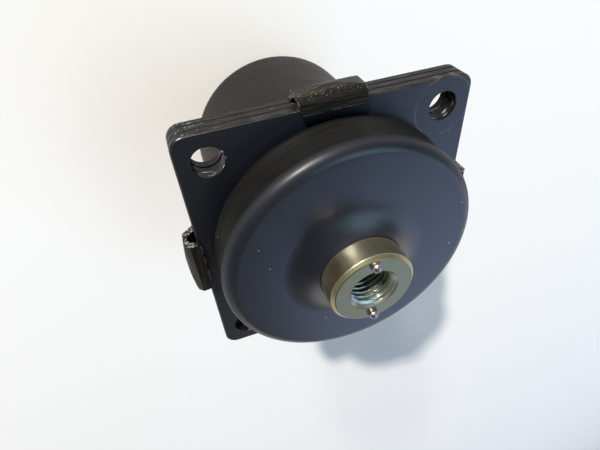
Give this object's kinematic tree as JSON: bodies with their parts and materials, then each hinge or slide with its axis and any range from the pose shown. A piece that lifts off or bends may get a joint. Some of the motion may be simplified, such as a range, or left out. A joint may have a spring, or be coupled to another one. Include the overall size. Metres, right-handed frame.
{
  "type": "hydraulic engine mount",
  "caption": "Hydraulic engine mount: square bolted flange with crimped tabs, round shield cap, threaded boss with locating pins, deep drawn rear cup.",
  "frame": {"origin": "centre of the square bolt pattern, on the front face of the flange", "axes": "+Z along the mount axis towards the threaded boss; X and Y parallel to the sides of the square flange, the locating pins lie on Y"},
  "size_m": [0.1108, 0.1108, 0.1186],
  "materials": {
    "zinc_steel": "machined, yellow passivated zinc",
    "pin_steel": "ground, bright",
    "black_coat": "satin black electrocoat",
    "rubber": "matt moulded",
    "cast_aluminium": "as cast and faced",
    "rivet_aluminium": "drawn",
    "plain_steel": "pressed, oiled",
    "zinc_screw": "clear passivated zinc"
  },
  "bodies": {
    "root": {"threaded_core": "zinc_steel", "locating_pin_1": "pin_steel", "locating_pin_2": "pin_steel", "shield_cap": "black_coat", "spring_plate": "black_coat", "main_spring": "rubber", "track_carrier": "black_coat", "cup": "black_coat", "track_upper": "cast_aluminium", "track_lower": "cast_aluminium", "decoupler": "rubber", "track_seal": "rubber", "track_rivet_1": "rivet_aluminium", "track_rivet_2": "rivet_aluminium", "track_rivet_3": "rivet_aluminium", "bellows": "rubber", "bellows_ring": "plain_steel", "flange_seal": "rubber", "cup_seal": "rubber", "rebound_washer": "plain_steel", "rebound_screw": "zinc_screw"}
  },
  "joints": []
}
